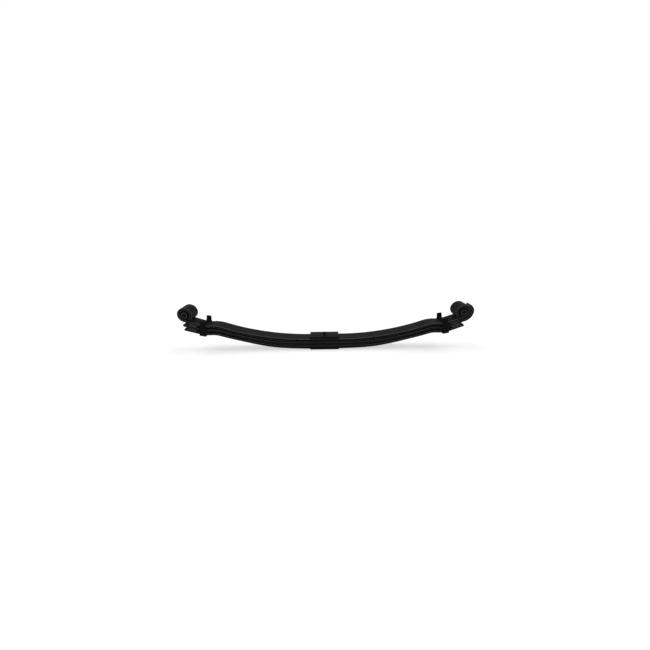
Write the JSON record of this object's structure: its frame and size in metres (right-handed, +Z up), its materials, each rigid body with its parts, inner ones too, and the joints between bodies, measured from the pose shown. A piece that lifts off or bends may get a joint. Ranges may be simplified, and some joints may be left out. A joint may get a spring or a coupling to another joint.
{
  "type": "leaf spring",
  "caption": "Parabolic leaf spring for a truck axle: stacked leaves clamped at a flat centre seat, bushed eyes at both ends, one eye wrapped by the second leaf.",
  "frame": {"origin": "centre of the bottom seat plate's underside, where the axle sits, on the flush head of the centre bolt", "axes": "+X along the spring from its plain eye to its wrapped eye, +Y across the leaves, +Z up, from the axle to the vehicle"},
  "size_m": [1.912, 0.1284, 0.3072],
  "materials": {
    "leaf_paint": "satin black chassis paint on spring steel",
    "plate_paint": "satin black chassis paint on flat steel",
    "clip_paint": "satin black chassis paint on bent strap",
    "fastener_paint": "satin black chassis paint over bolts, nuts and rivets",
    "sleeve_steel": "turned steel under a thin coat of paint",
    "bush_rubber": "moulded matt black rubber",
    "pad_plastic": "moulded black polyamide"
  },
  "bodies": {
    "spring": {"main_leaf": "leaf_paint", "second_leaf": "leaf_paint", "third_leaf": "leaf_paint", "top_plate": "plate_paint", "bottom_plate": "plate_paint", "centre_spacer_upper": "plate_paint", "centre_spacer_lower": "plate_paint", "centre_bolt": "fastener_paint", "centre_washer": "fastener_paint", "centre_nut": "fastener_paint", "left_bush_outer_sleeve": "sleeve_steel", "left_bush_rubber": "bush_rubber", "left_clip_strap": "clip_paint", "left_clip_rivet": "fastener_paint", "left_clip_bolt": "fastener_paint", "left_clip_nut": "fastener_paint", "left_clip_spacer_tube": "clip_paint", "left_upper_pad": "pad_plastic", "left_lower_pad": "pad_plastic", "right_bush_outer_sleeve": "sleeve_steel", "right_bush_rubber": "bush_rubber", "right_clip_strap": "clip_paint", "right_clip_rivet": "fastener_paint", "right_clip_bolt": "fastener_paint", "right_clip_nut": "fastener_paint", "right_clip_spacer_tube": "clip_paint", "right_upper_pad": "pad_plastic", "right_lower_pad": "pad_plastic"},
    "left_pin_sleeve": {"left_bush_inner_sleeve": "sleeve_steel"},
    "right_pin_sleeve": {"right_bush_inner_sleeve": "sleeve_steel"}
  },
  "joints": [
    {"name": "left_bush_twist", "type": "hinge", "parent": "spring", "child": "left_pin_sleeve", "pos_m": [-0.898, 0, 0.25877], "axis": [0, 1, 0], "range_deg": [-20, 20], "stiffness_Nm_per_rad": 90},
    {"name": "right_bush_twist", "type": "hinge", "parent": "spring", "child": "right_pin_sleeve", "pos_m": [0.898, 0, 0.25877], "axis": [0, 1, 0], "range_deg": [-20, 20], "stiffness_Nm_per_rad": 90}
  ]
}
